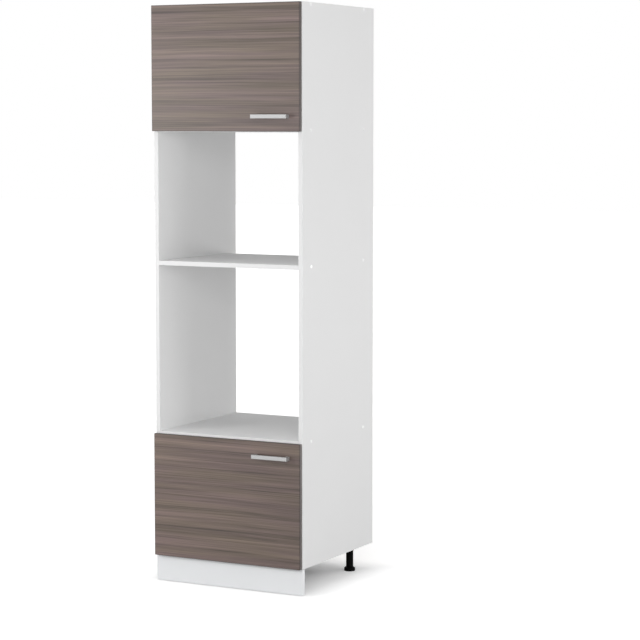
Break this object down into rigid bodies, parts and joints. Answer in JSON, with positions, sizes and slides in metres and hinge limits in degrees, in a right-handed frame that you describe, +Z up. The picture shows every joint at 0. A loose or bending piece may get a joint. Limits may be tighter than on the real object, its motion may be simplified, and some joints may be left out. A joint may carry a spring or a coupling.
{
  "type": "tall kitchen housing cabinet",
  "caption": "Tall white kitchen unit on levelling legs with an open oven niche and microwave niche between an upper and a lower wood-decor door on concealed hinges.",
  "frame": {"origin": "on the floor, under the middle of the whole object's box", "axes": "+Z up, the front with the doors faces -Y, +X to the right seen from the front"},
  "size_m": [0.6028, 0.598, 2.073],
  "materials": {
    "white_board": "white melamine-faced board, fine satin texture, edge-banded",
    "thin_back": "thin hardboard with a white face",
    "wood_decor": "brown-grey wood decor with level streaks, satin",
    "satin_handle": "satin light-grey metal",
    "black_plastic": "moulded black plastic",
    "white_cap": "moulded white plastic",
    "zinc_steel": "bright zinc-plated steel",
    "nickel_hinge": "nickel-plated pressed steel",
    "beech_dowel": "bare beech",
    "clear_bumper": "soft clear elastomer"
  },
  "bodies": {
    "carcass": {"left_side_panel": "white_board", "right_side_panel": "white_board", "top_panel": "white_board", "upper_box_floor": "white_board", "microwave_shelf": "white_board", "oven_shelf": "white_board", "bottom_panel": "white_board", "plinth_board": "white_board", "upper_back_panel": "thin_back", "lower_back_panel": "thin_back", "carcass_screws": "zinc_steel", "screw_caps": "white_cap", "cam_locks": "zinc_steel", "cam_bolts": "zinc_steel", "dowels": "beech_dowel", "plinth_clips": "black_plastic", "clip_screws": "zinc_steel", "leg_screws": "zinc_steel", "front_left_leg": "black_plastic", "front_right_leg": "black_plastic", "rear_left_leg": "black_plastic", "rear_right_leg": "black_plastic", "upper_hinge_plates": "nickel_hinge", "upper_hinge_arms": "nickel_hinge", "upper_arm_pins": "nickel_hinge", "upper_plate_screws": "zinc_steel", "upper_arm_screws": "zinc_steel", "lower_hinge_plates": "nickel_hinge", "lower_hinge_arms": "nickel_hinge", "lower_arm_pins": "nickel_hinge", "lower_plate_screws": "zinc_steel", "lower_arm_screws": "zinc_steel"},
    "upper_door": {"upper_door": "wood_decor", "upper_handle": "satin_handle", "upper_handle_screws": "zinc_steel", "upper_door_bumpers": "clear_bumper", "upper_hinge_cups": "nickel_hinge", "upper_cup_screws": "zinc_steel", "upper_cup_pins": "nickel_hinge"},
    "upper_long_links": {"upper_long_links": "nickel_hinge"},
    "upper_short_links": {"upper_short_links": "nickel_hinge"},
    "lower_door": {"lower_door": "wood_decor", "lower_handle": "satin_handle", "lower_handle_screws": "zinc_steel", "lower_door_bumpers": "clear_bumper", "lower_hinge_cups": "nickel_hinge", "lower_cup_screws": "zinc_steel", "lower_cup_pins": "nickel_hinge"},
    "lower_long_links": {"lower_long_links": "nickel_hinge"},
    "lower_short_links": {"lower_short_links": "nickel_hinge"},
    "front_left_foot": {"front_left_foot": "black_plastic"},
    "front_right_foot": {"front_right_foot": "black_plastic"},
    "rear_left_foot": {"rear_left_foot": "black_plastic"},
    "rear_right_foot": {"rear_right_foot": "black_plastic"}
  },
  "joints": [
    {"name": "upper_long_link_pivot", "type": "hinge", "parent": "carcass", "child": "upper_long_links", "pos_m": [-0.2559, -0.24415, 1.85], "axis": [0, 0, 1], "range_deg": [0, 34.8]},
    {"name": "upper_door_hinge", "type": "hinge", "parent": "upper_long_links", "child": "upper_door", "pos_m": [-0.28495, -0.25805, 1.85], "axis": [0, 0, -1], "range_deg": [0, 129.7]},
    {"name": "upper_short_link_pivot", "type": "hinge", "parent": "carcass", "child": "upper_short_links", "pos_m": [-0.2781, -0.26515, 1.85], "axis": [0, 0, 1], "range_deg": [0, 113.5]},
    {"name": "lower_long_link_pivot", "type": "hinge", "parent": "carcass", "child": "lower_long_links", "pos_m": [-0.2559, -0.24415, 0.32], "axis": [0, 0, 1], "range_deg": [0, 34.8]},
    {"name": "lower_door_hinge", "type": "hinge", "parent": "lower_long_links", "child": "lower_door", "pos_m": [-0.28495, -0.25805, 0.32], "axis": [0, 0, -1], "range_deg": [0, 129.7]},
    {"name": "lower_short_link_pivot", "type": "hinge", "parent": "carcass", "child": "lower_short_links", "pos_m": [-0.2781, -0.26515, 0.32], "axis": [0, 0, 1], "range_deg": [0, 113.5]},
    {"name": "front_left_foot_screw", "type": "slide", "parent": "carcass", "child": "front_left_foot", "axis": [0, 0, -1], "range_m": [0, 0.02]},
    {"name": "front_right_foot_screw", "type": "slide", "parent": "carcass", "child": "front_right_foot", "axis": [0, 0, -1], "range_m": [0, 0.02]},
    {"name": "rear_left_foot_screw", "type": "slide", "parent": "carcass", "child": "rear_left_foot", "axis": [0, 0, -1], "range_m": [0, 0.02]},
    {"name": "rear_right_foot_screw", "type": "slide", "parent": "carcass", "child": "rear_right_foot", "axis": [0, 0, -1], "range_m": [0, 0.02]}
  ],
  "couplings": [
    {"joint": "upper_long_link_pivot", "follows": "upper_door_hinge", "ratio": 0.26794},
    {"joint": "upper_short_link_pivot", "follows": "upper_door_hinge", "ratio": 0.87408},
    {"joint": "lower_long_link_pivot", "follows": "lower_door_hinge", "ratio": 0.26794},
    {"joint": "lower_short_link_pivot", "follows": "lower_door_hinge", "ratio": 0.87408}
  ]
}
